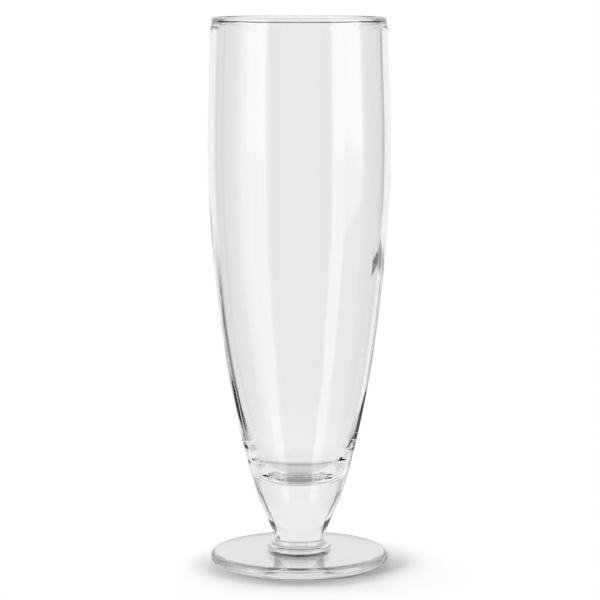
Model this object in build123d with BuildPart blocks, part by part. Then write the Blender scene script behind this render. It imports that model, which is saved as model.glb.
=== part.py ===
"""Footed pilsner glass, made of four pieces of clear glass fused end to end: foot, collar, stem, bowl.

The glass stands on z = 0 with its axis on +Z. Each piece is round about that axis, so each one is a
half section on the XZ plane, radius across and height up, turned once round. Sizes are millimetres.

A curved stretch of the outline leaves each of its ends in a known direction. A "reach" says how far
it keeps to that direction before it bends towards the other end.
"""

import os
from math import cos, pi, radians, sin

from build123d import *

os.makedirs("parts", exist_ok=True)

# Foot: a pressed disc with a round edge, standing on a flat ring around a dished underside
foot_radius = 34.35
foot_edge_thickness = 4.2
foot_rise = 0.5
rest_ring_width = 5.0
dish_depth = 0.3

# Collar: a wafer with a round edge, and the hollow that leads from it up to the neck
collar_thickness = 1.8
collar_hollow = 1.7

# Stem: solid glass that swells from the neck to the seam under the bowl
neck_radius = 9.73
neck_reach = 4.6
stem_height = 20.8
seam_radius = 17.25
seam_reach = 8.4
taper_angle = 16.6

# Bowl, outside: a long flank from the seam to the belly, then a barrel that closes in to the rim
seam_dome = 3.0
flank_height = 132.0
flank_reach = 42.2
belly_reach = 36.0
belly_radius = 34.9
barrel_height = 44.0
barrel_reach = 13.0
shoulder_radius = 33.7
shoulder_lean = 1.2
shoulder_reach = 0.9

# Bowl, rim: an oval bead melted round in the fire, which swells inwards and wraps under itself
rim_height = 5.0
rim_radius = 33.1
rim_thickness = 3.2
rim_crown = 1.0
rim_wrap = 48.0
rim_drop = 2.4
rim_reach = 0.7

# Bowl, inside: a nearly even wall that comes down to the heel, and a rounded floor over a thick bottom
wall = 2.4
inner_reach = 54.0
wall_reach = 16.0
heel_radius = 14.0
heel_height = 5.0
heel_lean = 38.0
heel_reach = 2.0
floor_height = 2.6
floor_reach = 9.0

# Levels, added up from the table
foot_level = foot_edge_thickness + foot_rise
neck_level = foot_level + collar_thickness + collar_hollow
seam_level = neck_level + stem_height
floor_level = seam_level + floor_height
belly_level = seam_level + flank_height
shoulder_level = belly_level + barrel_height
rim_level = shoulder_level + rim_height

# Radii and places that two pieces share
collar_root_radius = neck_radius + collar_hollow
ring_outer_radius = foot_radius - foot_edge_thickness / 2
ring_inner_radius = ring_outer_radius - rest_ring_width
seam_point = Vector(seam_radius, seam_level)
seam_apex = Vector(0, seam_level - seam_dome)
floor_point = Vector(0, floor_level)
heel_point = Vector(heel_radius, floor_level + heel_height)

# Directions: outwards along the section, and up along the leaning flank, shoulder and heel
outwards = Vector(1, 0)
upwards = Vector(0, 1)
up_the_flank = Vector(sin(radians(taper_angle)), cos(radians(taper_angle)))
up_the_shoulder = Vector(-sin(radians(shoulder_lean)), cos(radians(shoulder_lean)))
up_the_heel = Vector(sin(radians(heel_lean)), cos(radians(heel_lean)))

# The bead of the rim, from the outside of the wall over the top and round to its own underside
bead_half = rim_thickness / 2
bead_middle = Vector(rim_radius - bead_half, rim_level - rim_crown)
rim_outside = bead_middle + outwards * bead_half
rim_inside = bead_middle - Vector(bead_half * cos(radians(rim_wrap)), rim_crown * sin(radians(rim_wrap)))
into_the_bead = Vector(-bead_half * sin(radians(rim_wrap)), rim_crown * cos(radians(rim_wrap))).normalized()


def seam_curve():
    """The shallow dome under the bowl, which the top of the stem is fused to."""
    return TangentArc(seam_apex, seam_point, tangent=outwards)


def barrel_curves(belly, shoulder, rim, into_the_rim):
    """One side of the wall from the belly up to the shoulder, and on into the rim."""
    Bezier(
        belly,
        belly + upwards * barrel_reach,
        shoulder - up_the_shoulder * barrel_reach,
        shoulder,
    )
    Bezier(
        shoulder,
        shoulder + up_the_shoulder * shoulder_reach,
        rim - into_the_rim,
        rim,
    )


def outer_curves():
    """The outside of the bowl, from the seam to the rim."""
    belly = Vector(belly_radius, belly_level)
    Bezier(
        seam_point,
        seam_point + up_the_flank * flank_reach,
        belly - upwards * belly_reach,
        belly,
    )
    shoulder = Vector(shoulder_radius, shoulder_level)
    barrel_curves(belly, shoulder, rim_outside, upwards * rim_drop)


def inner_curves():
    """The inside of the bowl, from the middle of the floor to the rim."""
    belly = Vector(belly_radius - wall, belly_level)
    shoulder = Vector(shoulder_radius - wall, shoulder_level)
    Bezier(
        floor_point,
        floor_point + outwards * floor_reach,
        heel_point - up_the_heel * heel_reach,
        heel_point,
    )
    Bezier(
        heel_point,
        heel_point + up_the_heel * wall_reach,
        belly - upwards * inner_reach,
        belly,
    )
    barrel_curves(belly, shoulder, rim_inside, into_the_bead * rim_reach)


# Foot
with BuildPart() as foot:
    with BuildSketch(Plane.XZ):
        with BuildLine():
            TangentArc((0, dish_depth), (ring_inner_radius, 0), tangent=outwards)
            Line((ring_inner_radius, 0), (ring_outer_radius, 0))
            ThreePointArc(
                (ring_outer_radius, 0),
                (foot_radius, foot_edge_thickness / 2),
                (ring_outer_radius, foot_edge_thickness),
            )
            TangentArc(
                (ring_outer_radius, foot_edge_thickness),
                (collar_root_radius, foot_level),
                tangent=-outwards,
            )
            Line((collar_root_radius, foot_level), (0, foot_level))
            Line((0, foot_level), (0, dish_depth))
        make_face()
    revolve(axis=Axis.Z)
foot.part.label = "foot"
export_step(foot.part, "parts/foot.step")

# Collar
with BuildPart() as collar:
    with BuildSketch(Plane.XZ):
        with BuildLine():
            Line((0, foot_level), (collar_root_radius, foot_level))
            ThreePointArc(
                (collar_root_radius, foot_level),
                (collar_root_radius + collar_thickness / 2, foot_level + collar_thickness / 2),
                (collar_root_radius, foot_level + collar_thickness),
            )
            TangentArc(
                (collar_root_radius, foot_level + collar_thickness),
                (neck_radius, neck_level),
                tangent=-outwards,
            )
            Line((neck_radius, neck_level), (0, neck_level))
            Line((0, neck_level), (0, foot_level))
        make_face()
    revolve(axis=Axis.Z)
collar.part.label = "collar"
export_step(collar.part, "parts/collar.step")

# Stem
with BuildPart() as stem:
    with BuildSketch(Plane.XZ):
        with BuildLine():
            neck_point = Vector(neck_radius, neck_level)
            Line((0, neck_level), neck_point)
            Bezier(
                neck_point,
                neck_point + upwards * neck_reach,
                seam_point - up_the_flank * seam_reach,
                seam_point,
            )
            seam_curve()
            Line(seam_apex, (0, neck_level))
        make_face()
    revolve(axis=Axis.Z)
stem.part.label = "stem"
export_step(stem.part, "parts/stem.step")

# Bowl
with BuildPart() as bowl:
    with BuildSketch(Plane.XZ):
        with BuildLine():
            seam_curve()
            outer_curves()
            EllipticalCenterArc(bead_middle, bead_half, rim_crown, arc_size=180 + rim_wrap)
            inner_curves()
            Line(floor_point, seam_apex)
        make_face()
    revolve(axis=Axis.Z)
bowl.part.label = "bowl"
export_step(bowl.part, "parts/bowl.step")

# What the bowl holds when it is filled to the underside of the bead
with BuildSketch(Plane.XZ) as inside:
    with BuildLine():
        inner_curves()
        Line(rim_inside, (0, rim_inside.Y))
        Line((0, rim_inside.Y), floor_point)
    make_face()
half_section = inside.sketch.face()
capacity = 2 * pi * half_section.center(CenterOf.MASS).X * half_section.area
print(f"height {rim_level:.1f} mm, brimful {capacity / 1000:.0f} ml")

for piece in (foot, collar, stem, bowl):
    print(piece.part.label, f"{piece.part.volume / 1000:.1f} cm3")
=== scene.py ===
# %% [markdown]
# A footed pilsner glass
#
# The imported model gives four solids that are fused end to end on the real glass: the blown bowl, the solid
# stem, the collar and the foot. Clear glass shows every flat facet, because light bends at each one, so
# the looks need finer and smoother meshes than the solids carry. This lesson turns the same four pieces
# again at the same sizes, gives each one the surface that its making leaves, and lights them as a studio
# lights glass: by what stands around it.

# %% Load the frame
import math

import bmesh
import bpy
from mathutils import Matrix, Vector, geometry


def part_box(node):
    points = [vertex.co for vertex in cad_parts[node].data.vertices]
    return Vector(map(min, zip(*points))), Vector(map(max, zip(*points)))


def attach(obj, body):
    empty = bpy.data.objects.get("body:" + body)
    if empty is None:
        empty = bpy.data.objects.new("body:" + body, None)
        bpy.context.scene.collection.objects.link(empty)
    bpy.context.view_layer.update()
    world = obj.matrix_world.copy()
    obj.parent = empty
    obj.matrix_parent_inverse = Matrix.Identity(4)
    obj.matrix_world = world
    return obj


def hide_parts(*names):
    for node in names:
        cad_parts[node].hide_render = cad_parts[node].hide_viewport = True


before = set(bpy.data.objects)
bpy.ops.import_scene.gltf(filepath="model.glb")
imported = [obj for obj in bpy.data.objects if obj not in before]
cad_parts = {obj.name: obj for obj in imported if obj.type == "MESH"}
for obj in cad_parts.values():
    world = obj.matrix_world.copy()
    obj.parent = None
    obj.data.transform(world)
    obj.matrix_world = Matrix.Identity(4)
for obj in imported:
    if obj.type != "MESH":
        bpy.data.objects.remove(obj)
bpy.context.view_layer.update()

# %% [markdown]
# Sizes
#
# Levels and radii come from the boxes of the solids, so the meshes land where the solids are. A box says
# nothing about the curve between two levels. Each curved stretch leaves its ends in a known direction and
# keeps to it for a "reach", as the handles of a Bezier curve do. Those few lengths are written beside the
# piece that they shape.

# %% Levels and radii from the solids
MM = 0.001


def level_and_radius(node):
    """Lowest level, highest level and greatest radius of a solid that is round about Z."""
    low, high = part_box(node)
    return low.z, high.z, max(high.x, high.y)


_, foot_level, foot_radius = level_and_radius("foot")
_, neck_level, collar_radius = level_and_radius("collar")
_, seam_level, seam_radius = level_and_radius("stem")
seam_apex_level, rim_level, belly_radius = level_and_radius("bowl")
print("levels", [round(z / MM, 2) for z in (foot_level, neck_level, seam_level, rim_level)])
print("radii", [round(r / MM, 2) for r in (foot_radius, collar_radius, seam_radius, belly_radius)])

# %% [markdown]
# Turning a half section
#
# Round glass is made on a spinning iron, and spin is its operator in Blender: an edge chain in the XZ
# plane goes once round Z. A chain is drawn stretch by stretch. It is spun into one narrow wedge first, and
# the wedge is then repeated round the axis, so every wedge is alike. Stretches where two pieces are fused
# get a second material slot, because there is no surface inside fused glass for light to meet.

# %% Points along a half section
# Handle lengths of a quarter round and of a shallow arc, as shares of the way to their corner
QUARTER = 0.5523
PARABOLA = 2 / 3


def place(radius, level):
    """A point of the half section."""
    return Vector((radius, 0, level))


def curve(start, start_handle, end_handle, end, steps):
    """Points along a Bezier stretch."""
    return geometry.interpolate_bezier(start, start_handle, end_handle, end, steps)


def bend(start, corner, end, steps, pull=QUARTER):
    """A stretch that leaves towards a corner and arrives from it: a quarter round, or a shallow arc."""
    return curve(start, start.lerp(corner, pull), end.lerp(corner, pull), end, steps)


def oval(middle, across, upright, first, last, steps):
    """Points round part of an oval with two half widths; its angles count up from straight outwards."""
    angles = [first + (last - first) * i / steps for i in range(steps + 1)]
    return [middle + place(across * math.cos(a), upright * math.sin(a)) for a in angles]


_, halfway, _ = bend(place(1, 0), place(1, 1), place(0, 1), steps=3)
print("a quarter round strays from a true one by", round(halfway.length - 1, 5))

# %% Spin the stretches into a piece
scene = bpy.context.scene
WEDGES = 16
WEDGE_STEPS = 16
WELD = 0.002 * MM
CLEAR, FUSED = 0, 1


def turn(name, stretches):
    """Spins the stretches round Z, welds them into one closed piece and returns its object."""
    shape = bmesh.new()
    wedge = math.tau / WEDGES
    spin = dict(cent=(0, 0, 0), axis=(0, 0, 1))
    for points, slot in stretches:
        chain = [shape.verts.new(p) for p in points]
        edges = [shape.edges.new(pair) for pair in zip(chain, chain[1:])]
        made = len(shape.faces)
        bmesh.ops.spin(shape, geom=chain + edges, angle=wedge, steps=WEDGE_STEPS, **spin)
        for face in list(shape.faces)[made:]:
            face.material_index = slot
            face.smooth = True
    bmesh.ops.spin(
        shape,
        geom=shape.verts[:] + shape.edges[:] + shape.faces[:],
        angle=math.tau - wedge,
        steps=WEDGES - 1,
        use_duplicate=True,
        **spin,
    )
    bmesh.ops.remove_doubles(shape, verts=shape.verts, dist=WELD)
    bmesh.ops.recalc_face_normals(shape, faces=shape.faces)
    for edge in shape.edges:
        edge.smooth = len({face.material_index for face in edge.link_faces}) == 1
    open_edges = [e for e in shape.edges if not e.is_manifold]
    print(name, "faces", len(shape.faces), "open edges", len(open_edges))
    mesh = bpy.data.meshes.new(name)
    shape.to_mesh(mesh)
    shape.free()
    piece = bpy.data.objects.new(name, mesh)
    scene.collection.objects.link(piece)
    return piece


print("steps round the axis", WEDGES * WEDGE_STEPS)

# %% [markdown]
# The bowl
#
# The bowl is a blown bubble: an outer skin, a rim melted round in the fire, and an inner skin that ends in
# a rounded floor over thick glass. Below it is fused to the stem along a shallow dome. A solidified single
# skin would give an even wall, but here the wall grows from the barrel to the floor, so both skins are
# drawn and joined over the rim.

# %% The seam that the bowl and the stem share
taper_angle = math.radians(16.6)
up = Vector((0, 0, 1))
out = Vector((1, 0, 0))


def leaning(angle):
    """The direction that leans outwards from upright by an angle."""
    return Vector((math.sin(angle), 0, math.cos(angle)))


up_the_flank = leaning(taper_angle)
seam_apex = place(0, seam_apex_level)
seam_corner = place(seam_radius / 2, seam_apex_level)
seam_edge = place(seam_radius, seam_level)
seam = bend(seam_apex, seam_corner, seam_edge, steps=12, pull=PARABOLA)
print("depth of the seam's dome", round((seam_level - seam_apex_level) / MM, 2))

# %% The rim, an oval bead that swells inwards and wraps under itself
rim_radius = 33.1 * MM
rim_thickness = 3.2 * MM
rim_crown = 1.0 * MM
rim_wrap = math.radians(48.0)

bead = rim_thickness / 2
rim_middle = place(rim_radius - bead, rim_level - rim_crown)
rim_round = oval(rim_middle, bead, rim_crown, first=0, last=math.pi + rim_wrap, steps=40)
into_the_bead = place(-bead * math.sin(rim_wrap), rim_crown * math.cos(rim_wrap)).normalized()
print("rim from radius", round(rim_middle.x / MM - bead / MM, 2), "to", round(rim_round[0].x / MM, 2))

# %% Outside of the bowl
flank_height = 132.0 * MM
flank_reach = 42.2 * MM
belly_reach = 36.0 * MM
barrel_reach = 13.0 * MM
shoulder_radius = 33.7 * MM
shoulder_lean = math.radians(1.2)
shoulder_reach = 0.9 * MM
rim_height = 5.0 * MM
rim_drop = 2.4 * MM

belly_level = seam_level + flank_height
shoulder_level = rim_level - rim_height
up_the_shoulder = leaning(-shoulder_lean)


def barrel(belly, shoulder, rim, into_the_rim):
    """One skin from the belly up over the shoulder into the rim."""
    belly_handle = belly + up * barrel_reach
    shoulder_handle = shoulder - up_the_shoulder * barrel_reach
    sides = curve(belly, belly_handle, shoulder_handle, shoulder, steps=24)
    tuck_handle = shoulder + up_the_shoulder * shoulder_reach
    tuck = curve(shoulder, tuck_handle, rim - into_the_rim, rim, steps=14)
    return sides, tuck


belly_outside = place(belly_radius, belly_level)
shoulder_outside = place(shoulder_radius, shoulder_level)
flank_handle = seam_edge + up_the_flank * flank_reach
flank = curve(seam_edge, flank_handle, belly_outside - up * belly_reach, belly_outside, steps=80)
sides_out, tuck_out = barrel(belly_outside, shoulder_outside, rim_round[0], up * rim_drop)
print("belly at level", round(belly_level / MM, 2), "shoulder at", round(shoulder_level / MM, 2))

# %% Inside of the bowl
wall = 2.4 * MM
rim_reach = 0.7 * MM
inner_reach = 54.0 * MM
wall_reach = 16.0 * MM
heel_radius = 14.0 * MM
heel_height = 5.0 * MM
heel_lean = math.radians(38.0)
heel_reach = 2.0 * MM
floor_height = 2.6 * MM
floor_reach = 9.0 * MM

floor_level = seam_level + floor_height
up_the_heel = leaning(heel_lean)
belly_inside = place(belly_radius - wall, belly_level)
shoulder_inside = place(shoulder_radius - wall, shoulder_level)
sides_in, tuck_in = barrel(belly_inside, shoulder_inside, rim_round[-1], into_the_bead * rim_reach)
heel = place(heel_radius, floor_level + heel_height)
wall_handle = heel + up_the_heel * wall_reach
inner_wall = curve(heel, wall_handle, belly_inside - up * inner_reach, belly_inside, steps=90)
floor_middle = place(0, floor_level)
floor_handle = floor_middle + out * floor_reach
floor_line = curve(floor_middle, floor_handle, heel - up_the_heel * heel_reach, heel, steps=40)
print("glass under the floor", round((floor_level - seam_apex_level) / MM, 2))

# %% Turn the bowl
outer_lines = [flank, sides_out, tuck_out]
inner_lines = [tuck_in, sides_in, inner_wall, floor_line]
bowl_lines = [(line, CLEAR) for line in outer_lines + [rim_round] + inner_lines]
bowl = turn("bowl_glass", [(seam, FUSED)] + bowl_lines)

# %% [markdown]
# Stem, collar and foot
#
# These three are solid glass. The stem swells from the neck to the seam. The collar is a wafer with a round
# edge, and the foot a pressed disc with a round edge and a dished underside, so that it stands on a ring.
# A scaled cylinder with bevels would come near, but the hollow over the collar and the dish are curves, so
# these pieces are half sections too.

# %% Turn the stem
collar_thickness = 1.8 * MM
neck_reach = 4.6 * MM
seam_reach = 8.4 * MM

collar_hollow = neck_level - foot_level - collar_thickness
neck_radius = collar_radius - collar_thickness / 2 - collar_hollow
neck_edge = place(neck_radius, neck_level)
neck_disc = [place(0, neck_level), neck_edge]
seam_handle = seam_edge - up_the_flank * seam_reach
stem_side = curve(neck_edge, neck_edge + up * neck_reach, seam_handle, seam_edge, steps=48)
stem = turn("stem_glass", [(neck_disc, FUSED), (stem_side, CLEAR), (seam, FUSED)])
print("neck radius", round(neck_radius / MM, 2))

# %% Turn the collar
collar_root = neck_radius + collar_hollow
root_edge = place(collar_root, foot_level)
root_disc = [place(0, foot_level), root_edge]
collar_middle = place(collar_radius, foot_level + collar_thickness / 2)
collar_top = place(collar_root, foot_level + collar_thickness)
collar = turn(
    "collar_glass",
    [
        (root_disc, FUSED),
        (bend(root_edge, place(collar_radius, foot_level), collar_middle, steps=10), CLEAR),
        (bend(collar_middle, place(collar_radius, collar_top.z), collar_top, steps=10), CLEAR),
        (bend(collar_top, place(neck_radius, collar_top.z), neck_edge, steps=14), CLEAR),
        (neck_disc, FUSED),
    ],
)

# %% Turn the foot
foot_edge = 4.2 * MM
rest_ring = 5.0 * MM
dish_depth = 0.3 * MM

ring_outside = place(foot_radius - foot_edge / 2, 0)
ring_inside = place(ring_outside.x - rest_ring, 0)
foot_middle = place(foot_radius, foot_edge / 2)
foot_shoulder = place(ring_outside.x, foot_edge)
dish_top = place(0, dish_depth)
dish_corner = place(ring_inside.x / 2, dish_depth)
top_corner = place((foot_shoulder.x + root_edge.x) / 2, foot_edge)
foot = turn(
    "foot_glass",
    [
        (bend(dish_top, dish_corner, ring_inside, steps=24, pull=PARABOLA), CLEAR),
        ([ring_inside, ring_outside], CLEAR),
        (bend(ring_outside, place(foot_radius, 0), foot_middle, steps=14), CLEAR),
        (bend(foot_middle, place(foot_radius, foot_edge), foot_shoulder, steps=14), CLEAR),
        (bend(foot_shoulder, top_corner, root_edge, steps=24, pull=PARABOLA), CLEAR),
        (root_disc, FUSED),
    ],
)

# %% [markdown]
# Clear glass
#
# Soda-lime glass bends light with an index of 1.52 and takes a little of it. Hand-made glass is never quite
# even: slow waves in its surface make the reflections wander, and its tint changes a little with them. The
# bowl is blown, so its waves are long and drawn out upwards, and they fade above the lower flank. The stem
# and the collar are tooled, which leaves shorter waves, and the foot is pressed nearly smooth. The waves
# could be modelled, but their slopes are so slight that a bump shows them as well, and the walls keep their
# exact sizes. One node group draws waves and tint from noise, and each kind of glass sets its own lengths.
# The fused seam is fully see-through, so light crosses it as it does in one mass.

# %% Helpers for nodes
NUMBER = "NodeSocketFloat"
COLOUR = "NodeSocketColor"


def feed(tree, socket, value):
    """Links another socket to this one, or sets this one to a number or a colour."""
    if isinstance(value, bpy.types.NodeSocket):
        tree.links.new(value, socket)
    else:
        socket.default_value = value


def add_node(tree, kind, inputs=None, **settings):
    """A new node with its settings made and its inputs fed, by their names or their numbers."""
    node = tree.nodes.new(kind)
    for name, setting in settings.items():
        setattr(node, name, setting)
    for name, value in (inputs or {}).items():
        feed(tree, node.inputs[name], value)
    return node


def add_math(tree, operation, *values):
    """A Math node fed by sockets or numbers, and its output."""
    node = add_node(tree, "ShaderNodeMath", dict(enumerate(values)), operation=operation)
    return node.outputs["Value"]


def new_group(name, inputs, outputs):
    """A node group with named sockets, what it is given and what it results in."""
    group = bpy.data.node_groups.new(name, "ShaderNodeTree")
    for in_out, sockets in (("INPUT", inputs), ("OUTPUT", outputs)):
        for socket, kind in sockets.items():
            group.interface.new_socket(socket, in_out=in_out, socket_type=kind)
    given = group.nodes.new("NodeGroupInput").outputs
    result = group.nodes.new("NodeGroupOutput").inputs
    return group, given, result


# %% Waves and tint, as a node group
lightest_tint = (0.975, 0.975, 0.975, 1)
waves_fade_from = 50 * MM
waves_fade_to = 105 * MM
waves_left_above = 0.12

waves, given, result = new_group(
    "glass_waves",
    {"Wave Length": NUMBER, "Draw": NUMBER, "Tint": COLOUR},
    {"Color": COLOUR, "Height": NUMBER},
)
spot = waves.nodes.new("ShaderNodeTexCoord").outputs["Object"]
stretch = add_node(waves, "ShaderNodeCombineXYZ", {"X": 1, "Y": 1, "Z": given["Draw"]}).outputs["Vector"]
drawn = add_node(waves, "ShaderNodeVectorMath", {0: spot, 1: stretch}, operation="MULTIPLY")
noise_inputs = {
    "Vector": drawn.outputs["Vector"],
    "Scale": add_math(waves, "DIVIDE", 1, given["Wave Length"]),
    "Detail": 1.0,
    "Roughness": 0.3,
}
noise = add_node(waves, "ShaderNodeTexNoise", noise_inputs).outputs["Fac"]

tint_inputs = {"Factor": noise, "A": given["Tint"], "B": lightest_tint}
tint = add_node(waves, "ShaderNodeMix", tint_inputs, data_type="RGBA")
feed(waves, result["Color"], tint.outputs["Result"])

fade_inputs = {
    "Value": add_node(waves, "ShaderNodeSeparateXYZ", {"Vector": spot}).outputs["Z"],
    "From Min": waves_fade_from,
    "From Max": waves_fade_to,
    "To Min": 1.0,
    "To Max": waves_left_above,
}
fade = add_node(waves, "ShaderNodeMapRange", fade_inputs).outputs["Result"]
feed(waves, result["Height"], add_math(waves, "MULTIPLY", noise, fade))
print("nodes in the waves", len(waves.nodes))

# %% Make the materials
glass_index = 1.52
darkest_tint = (0.965, 0.965, 0.965, 1)


def new_material(name):
    """A material and its Principled shader."""
    material = bpy.data.materials.new(name)
    material.use_nodes = True
    return material, material.node_tree.nodes["Principled BSDF"]


def make_glass(name, wave_length, draw, depth):
    """Clear glass with waves of a length and a depth, stretched upwards where draw is under 1."""
    material, shader = new_material(name)
    tree = material.node_tree
    wave_inputs = {"Wave Length": wave_length, "Draw": draw, "Tint": darkest_tint}
    surface = add_node(tree, "ShaderNodeGroup", wave_inputs, node_tree=waves).outputs
    bump_inputs = {"Strength": 1.0, "Distance": depth, "Height": surface["Height"]}
    bump = add_node(tree, "ShaderNodeBump", bump_inputs)
    feed(tree, shader.inputs["Base Color"], surface["Color"])
    feed(tree, shader.inputs["Normal"], bump.outputs["Normal"])
    shader.inputs["Roughness"].default_value = 0.0
    shader.inputs["IOR"].default_value = glass_index
    shader.inputs["Transmission Weight"].default_value = 1.0
    return material


blown_glass = make_glass("blown_glass", wave_length=16 * MM, draw=0.6, depth=0.6 * MM)
tooled_glass = make_glass("tooled_glass", wave_length=9 * MM, draw=1.0, depth=0.25 * MM)
pressed_glass = make_glass("pressed_glass", wave_length=14 * MM, draw=1.0, depth=0.05 * MM)

fused_seam, shader = new_material("fused_seam")
shader.inputs["Alpha"].default_value = 0.0

# The order of the two materials is the order of CLEAR and FUSED
finishes = ((bowl, blown_glass), (stem, tooled_glass), (collar, tooled_glass), (foot, pressed_glass))
for piece, glass in finishes:
    piece.data.materials.append(glass)
    piece.data.materials.append(fused_seam)
    print(piece.name, "is made of", glass.name)

# %% [markdown]
# The pieces ride on the part
#
# Nothing on the glass moves, so the part has one rigid body. Each mesh rides on it in place of its solid,
# which is hidden.

# %% Ride and replace
for piece, node in ((bowl, "bowl"), (stem, "stem"), (collar, "collar"), (foot, "foot")):
    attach(piece, "root")
    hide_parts(node)

# %% [markdown]
# The studio
#
# Clear glass has no colour of its own: it shows what stands around it. Glass is photographed in front of a
# bright screen, with two tall softboxes beside the camera and dark gaps between them. The screen makes the
# body bright, the softboxes draw the two tall bands, and the gaps draw the thin dark lines along the edges.
# The panels could be modelled, but each of them would light the floor too. All of it is far away, so it is
# painted on the world by direction: a panel is a window with four sides and soft edges, all in degrees.
# Azimuth 0 lies straight behind the glass and grows to the right, and elevation counts up from level.

# %% A window of directions, as a node group
def add_step(tree, value, edge, blur):
    """Rises smoothly from 0 to 1 where the value passes the edge."""
    inputs = {
        "Value": value,
        "From Min": add_math(tree, "SUBTRACT", edge, blur),
        "From Max": add_math(tree, "ADD", edge, blur),
    }
    step = add_node(tree, "ShaderNodeMapRange", inputs, interpolation_type="SMOOTHSTEP")
    return step.outputs["Result"]


def add_window(tree, value, low, high, blur):
    """1 between two edges and 0 outside them."""
    past_low = add_step(tree, value, low, blur)
    past_high = add_step(tree, value, high, blur)
    return add_math(tree, "MULTIPLY", past_low, add_math(tree, "SUBTRACT", 1, past_high))


panel_inputs = ("Azimuth", "Elevation", "Left", "Right", "Bottom", "Top", "Blur")
panel_sockets = dict.fromkeys(panel_inputs, NUMBER)
panel_group, given, result = new_group("studio_panel", panel_sockets, {"Mask": NUMBER})
across = add_window(panel_group, given["Azimuth"], given["Left"], given["Right"], given["Blur"])
upright = add_window(panel_group, given["Elevation"], given["Bottom"], given["Top"], given["Blur"])
feed(panel_group, result["Mask"], add_math(panel_group, "MULTIPLY", across, upright))
print("nodes in a panel", len(panel_group.nodes))

# %% Panels on the world
world = bpy.data.worlds.new("studio")
scene.world = world
world.use_nodes = True
studio = world.node_tree
looked_at = studio.nodes.new("ShaderNodeTexCoord").outputs["Generated"]
direction = add_node(studio, "ShaderNodeSeparateXYZ", {"Vector": looked_at}).outputs
azimuth = add_math(studio, "DEGREES", add_math(studio, "ARCTAN2", direction["X"], direction["Y"]))
elevation = add_math(studio, "DEGREES", add_math(studio, "ARCSINE", direction["Z"]))


def panel(left, right, bottom, top, blur):
    """1 inside a window of directions and 0 outside; a side is an angle, or a side that leans."""
    inputs = dict(zip(panel_inputs, (azimuth, elevation, left, right, bottom, top, blur)))
    return add_node(studio, "ShaderNodeGroup", inputs, node_tree=panel_group).outputs["Mask"]


def panel_count():
    """How many panels the world has so far."""
    return sum(node.type == "GROUP" for node in studio.nodes)


def both_sides(near, far, bottom, top, blur):
    """The same window on the left and on the right."""
    left = panel(-far, -near, bottom, top, blur)
    right = panel(near, far, bottom, top, blur)
    return add_math(studio, "ADD", left, right)


def lean(start, end, along):
    """A side that slides from one (angle, side) to another while it goes along the other angle."""
    inputs = {
        "Value": along,
        "From Min": start[0],
        "From Max": end[0],
        "To Min": start[1],
        "To Max": end[1],
    }
    return add_node(studio, "ShaderNodeMapRange", inputs).outputs["Result"]


def paint(base, layers):
    """Lays masks over a base level, one over another; each one replaces what lies under it."""
    for mask, level in layers:
        kept = add_math(studio, "MULTIPLY", base, add_math(studio, "SUBTRACT", 1, mask))
        base = add_math(studio, "ADD", kept, add_math(studio, "MULTIPLY", mask, level))
    return base


print("world", world.name, "panels", panel_count())

# %% The screen, the room, the tabletop and the ceiling
# No direction lies beyond these two angles, so such a side is never seen
ALL_ROUND = 181
UPRIGHT = 91

back_screen = panel(left=-46, right=46, bottom=-UPRIGHT, top=36, blur=4)
sweep = panel(left=-66, right=66, bottom=-UPRIGHT, top=-15, blur=5)
room = panel(left=-158, right=158, bottom=-30, top=15, blur=4)
side_walls = both_sides(near=74, far=112, bottom=-30, top=15, blur=4)
front_walls = both_sides(near=135, far=ALL_ROUND, bottom=4, top=45, blur=4)
tabletop = panel(left=-ALL_ROUND, right=ALL_ROUND, bottom=-UPRIGHT, top=-50, blur=5)
# Painted shade: the tabletop behind and below the glass is darker, standing for the floor in shadow near the
# foot
shaded_tabletop_behind = panel(left=-40, right=40, bottom=-UPRIGHT, top=-52, blur=5)
ceiling = panel(left=-ALL_ROUND, right=ALL_ROUND, bottom=40, top=UPRIGHT, blur=3)
print("panels", panel_count())

# %% Softboxes, with their spill on the walls and their glare higher up
softbox_height = dict(bottom=-50, top=50)
glare_height = dict(bottom=-4.2, top=50)

left_outer = lean((-38, -146), (-14, -137), elevation)
left_inner = lean((-38, -132), (-14, -112), elevation)
left_softbox = panel(left=left_outer, right=left_inner, **softbox_height, blur=2)
left_spill_end = lean((-38, -127), (-14, -98), elevation)
left_spill = panel(left=left_outer, right=left_spill_end, **softbox_height, blur=9)
left_glare = panel(left=-137, right=-110, **glare_height, blur=2.5)

right_outer = lean((-38, 146), (-14, 137), elevation)
right_inner = lean((-38, 134), (-14, 119), elevation)
right_softbox = panel(left=right_inner, right=right_outer, **softbox_height, blur=2)
right_spill_end = lean((-13, 124), (-8.5, 94), elevation)
right_spill = panel(left=right_spill_end, right=right_outer, **softbox_height, blur=5)
right_glare = panel(left=95, right=137, **glare_height, blur=2.5)
print("panels", panel_count())

# %% Dark gaps beside the screen, and the strips that draw the edge lines
left_gap = panel(left=-103, right=-48, bottom=-50, top=70, blur=4)
right_gap = panel(left=48, right=91, bottom=-50, top=70, blur=4)
high_gaps = both_sides(near=50, far=72, bottom=16, top=70, blur=4)
left_low_gap = panel(left=-60, right=-48, bottom=-15, top=8, blur=2)
right_low_gap = panel(left=46, right=60, bottom=-15, top=8, blur=2)
left_edge = panel(left=-43, right=-26, bottom=-24, top=-8.4, blur=1)
right_edge = panel(left=4, right=34, bottom=-30, top=-8.5, blur=2)
right_strip = panel(left=38, right=46, bottom=-6.5, top=8, blur=1.5)
print("panels", panel_count())

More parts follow.
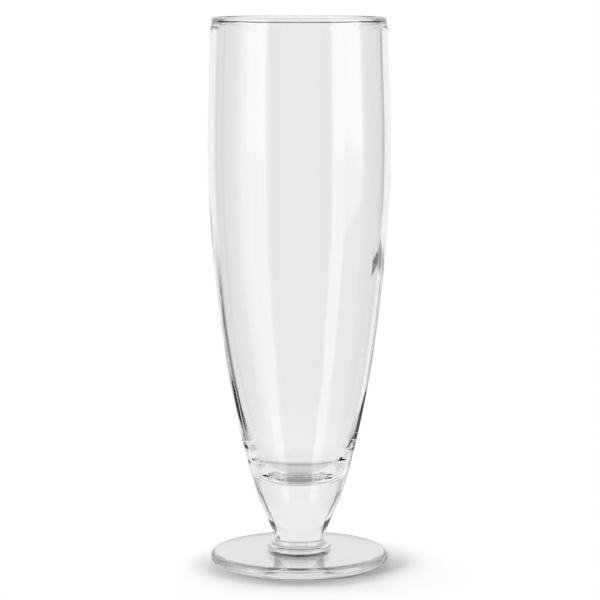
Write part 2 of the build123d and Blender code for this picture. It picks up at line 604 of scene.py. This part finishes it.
# %% The dark drop at the right of the belly
# Light reaches the drop by three ways through the two walls, so three slim windows have to be dark
middle_drop = panel(left=29, right=41, bottom=-8.15, top=-6.95, blur=0.12)
near_drop_bottom = lean((12, -6.58), (24, -7.0), azimuth)
near_drop_top = lean((12, -6.1), (24, -6.3), azimuth)
near_drop = panel(left=10.5, right=24, bottom=near_drop_bottom, top=near_drop_top, blur=0.05)
far_drop_bottom = lean((38, -8.6), (54, -9.5), azimuth)
far_drop_top = lean((38, -7.7), (54, -8.75), azimuth)
far_drop = panel(left=36, right=60, bottom=far_drop_bottom, top=far_drop_top, blur=0.1)
print("panels", panel_count())

# %% [markdown]
# Three kinds of rays
#
# The body of the glass shows what light brings through it, and the tall bands are what its surface mirrors.
# One set of levels could serve both, but then no band could be set without the body. So rays that went
# through the glass meet one set of levels, and rays that it mirrored meet another. The camera itself sees
# plain white, and nearly nothing is left for other rays, because lamps light the floor. The order matters:
# each panel covers those before it.

# %% Paint the levels
through = paint(
    base=0.9,
    layers=[
        (room, 0.72),
        (back_screen, 0.88),
        (high_gaps, 0.04),
        (left_low_gap, 0.75),
        (right_low_gap, 0.7),
        (sweep, 0.92),
        (side_walls, 0.9),
        (left_edge, 0.12),
        (right_strip, 0.2),
        (middle_drop, 0.0),
        (near_drop, 0.0),
        (far_drop, 0.0),
        (tabletop, 0.92),
        (front_walls, 0.95),
        (left_softbox, 1.0),
        (right_softbox, 1.0),
        # painted shadow of the floor near the foot
        (shaded_tabletop_behind, 0.58),
        (ceiling, 0.04),
    ],
)
mirrored = paint(
    base=0.4,
    layers=[
        (back_screen, 0.92),
        (left_edge, 0.12),
        (right_edge, 0.2),
        (left_gap, 0.06),
        (right_gap, 0.06),
        (left_spill, 2.0),
        (right_spill, 2.0),
        (left_softbox, 2.5),
        (right_softbox, 2.5),
        (left_glare, 3.2),
        (right_glare, 3.2),
        # painted shadow of the floor near the foot
        (shaded_tabletop_behind, 0.5),
        (ceiling, 0.04),
    ],
)
print("nodes in the world", len(studio.nodes))

# %% Choose by the kind of ray
other_rays = 0.03
ray = studio.nodes.new("ShaderNodeLightPath").outputs
by_ray = [
    (ray["Is Glossy Ray"], mirrored),
    (ray["Is Transmission Ray"], through),
    (ray["Is Camera Ray"], 1.0),
]
background = studio.nodes["Background"]
background.inputs["Color"].default_value = (1, 1, 1, 1)
feed(studio, background.inputs["Strength"], paint(other_rays, by_ray))
print("levels by ray", [socket.name for socket, _ in by_ray])

# %% [markdown]
# The floor
#
# The glass stands on white paper. A wide plane would hide the lower half of the painted studio from the
# light that goes through the glass, and the dark lines would go with it, so the floor is a disc that is
# little wider than the shadow. Past the shadow it turns plain white, as the world behind it is. Light that
# glass bends onto a floor is hard to render, and without it the foot stands over a black shadow. So where
# the floor is seen through glass it glows with painted light and painted shadow: pale paper, a painted
# shadow under the foot, a darker painted shadow in a ring where the foot meets it, and a painted shadow
# under the stem.

# %% Floor
floor_radius = 110 * MM
floor_gap = 0.05 * MM

floor_mesh = bpy.data.meshes.new("floor")
shape = bmesh.new()
bmesh.ops.create_circle(shape, cap_ends=True, segments=96, radius=floor_radius)
bmesh.ops.translate(shape, verts=shape.verts, vec=(0, 0, -floor_gap))
shape.to_mesh(floor_mesh)
shape.free()
floor = bpy.data.objects.new("floor", floor_mesh)
floor.visible_glossy = False
scene.collection.objects.link(floor)
print("floor radius", floor_radius)

# %% Zones of the floor, by their distance from the axis
# The stem zone and the contact ring mark where painted shadow darkens the floor seen through glass
stem_shadow_zone = dict(edge=12 * MM, blur=3 * MM)
contact_shadow_start = dict(edge=33.5 * MM, blur=1.5 * MM)
contact_shadow_end = dict(edge=43 * MM, blur=7 * MM)
foot_end = dict(edge=38 * MM, blur=8 * MM)
shadow_end = dict(edge=66 * MM, blur=16 * MM)

white_floor, shader = new_material("white_floor")
tree = white_floor.node_tree
spot = tree.nodes.new("ShaderNodeTexCoord").outputs["Object"]
from_axis = add_node(tree, "ShaderNodeVectorMath", {0: spot}, operation="LENGTH").outputs["Value"]
stem_shadow_mask = add_math(tree, "SUBTRACT", 1, add_step(tree, from_axis, **stem_shadow_zone))
past_contact_shadow = add_step(tree, from_axis, **contact_shadow_end)
contact_shadow_ring = add_math(tree, "SUBTRACT", add_step(tree, from_axis, **contact_shadow_start), past_contact_shadow)
past_foot = add_step(tree, from_axis, **foot_end)
past_shadow = add_step(tree, from_axis, **shadow_end)
print("the shadow ends", round(shadow_end["edge"] - foot_radius, 4), "past the foot")

# %% Brightness of the floor, with painted shadows where it is seen through glass
# Levels at which the floor glows for rays through glass: painted shadow under the foot, lighter past it, and
# darker painted shadow at the contact ring and under the stem
shaded_paper_level = 0.70
lighter_past_foot = 0.22
painted_contact_shadow = 0.4
painted_stem_shadow = 0.35
paper_white = (0.9, 0.9, 0.9, 1)

ray = tree.nodes.new("ShaderNodeLightPath").outputs
level = add_math(tree, "MULTIPLY_ADD", past_foot, lighter_past_foot, shaded_paper_level)
level = add_math(tree, "MULTIPLY_ADD", contact_shadow_ring, -painted_contact_shadow, level)
level = add_math(tree, "MULTIPLY_ADD", stem_shadow_mask, -painted_stem_shadow, level)
# Only rays through the glass see this painted light and painted shade on the floor
painted_floor_through_glass = add_math(tree, "MULTIPLY", level, ray["Is Transmission Ray"])
seen = add_math(tree, "MULTIPLY", past_shadow, ray["Is Camera Ray"])
feed(tree, shader.inputs["Emission Strength"], add_math(tree, "ADD", seen, painted_floor_through_glass))
shader.inputs["Emission Color"].default_value = (1, 1, 1, 1)

unlit = add_math(tree, "MAXIMUM", past_shadow, ray["Is Transmission Ray"])
paper_inputs = {"Factor": unlit, "A": paper_white, "B": (0, 0, 0, 1)}
paper = add_node(tree, "ShaderNodeMix", paper_inputs, data_type="RGBA")
feed(tree, shader.inputs["Base Color"], paper.outputs["Result"])
shader.inputs["Roughness"].default_value = 0.9
shader.inputs["Specular IOR Level"].default_value = 0.0
floor_mesh.materials.append(white_floor)
print("nodes in the floor", len(tree.nodes))

# %% [markdown]
# Lamps for the floor
#
# A ring of five low lamps lights the paper, so the foot's shadow spreads softly to its sides and to the
# front. The glass doesn't show these lamps, because its surroundings are painted already. Clear glass casts
# a black shadow where a render leaves out the light that it bends, so the bowl and the stem cast none, and
# the shadow is the foot's and the collar's. Light crosses many surfaces of glass on its way, and some of it
# runs along inside the walls, so rays may bounce more often than usual.

# %% Lamps
lamp_height = 0.3


def add_lamp(name, spot, width, energy):
    """A rectangular area lamp aimed at the foot; the glass shows the world instead of it."""
    lamp_data = bpy.data.lights.new(name, "AREA")
    lamp_data.shape = "RECTANGLE"
    lamp_data.size = width
    lamp_data.size_y = lamp_height
    lamp_data.energy = energy
    lamp = bpy.data.objects.new(name, lamp_data)
    lamp.location = spot
    lamp.rotation_euler = (-Vector(spot)).to_track_quat("-Z", "Y").to_euler()
    lamp.visible_glossy = False
    lamp.visible_transmission = False
    scene.collection.objects.link(lamp)
    print(name, energy, "W")


add_lamp("back_lamp", spot=(0.0, 0.9, 0.24), width=0.6, energy=11.0)
add_lamp("back_left_lamp", spot=(-0.62, 0.65, 0.22), width=0.5, energy=8.6)
add_lamp("back_right_lamp", spot=(0.65, 0.62, 0.24), width=0.5, energy=7.2)
add_lamp("front_left_lamp", spot=(-0.8, -0.3, 0.2), width=0.5, energy=9.2)
add_lamp("front_right_lamp", spot=(0.8, -0.15, 0.28), width=0.5, energy=2.6)
bowl.visible_shadow = False
stem.visible_shadow = False

# %% Light paths and plain colours
scene.view_settings.view_transform = "Standard"
scene.cycles.max_bounces = 32
scene.cycles.transmission_bounces = 32
scene.cycles.glossy_bounces = 16
scene.cycles.transparent_max_bounces = 32
print("bounces", scene.cycles.max_bounces)

# %% [markdown]
# The camera
#
# The camera stands nearly a metre in front of the glass, just higher than the rim, and looks down a little,
# so the rim and the foot show as ovals, and the foot's is the rounder one. How round the two are gave the
# camera's place and its focal length. That length is in pixels of a picture 600 pixels wide, and the lens
# has the same share of the sensor.

# %% Camera
picture_width = 600
focal_length = 2521.6
sensor_width = 36
camera_spot = (0.0003, -0.9601, 0.2245)
camera_dip = 7.279

camera_data = bpy.data.cameras.new("camera")
camera_data.sensor_width = sensor_width
camera_data.lens = sensor_width * focal_length / picture_width
camera = bpy.data.objects.new("camera", camera_data)
camera.location = camera_spot
camera.rotation_euler = (math.radians(90 - camera_dip), 0, 0)
scene.collection.objects.link(camera)
scene.camera = camera
print("lens", round(camera_data.lens, 2), "mm")
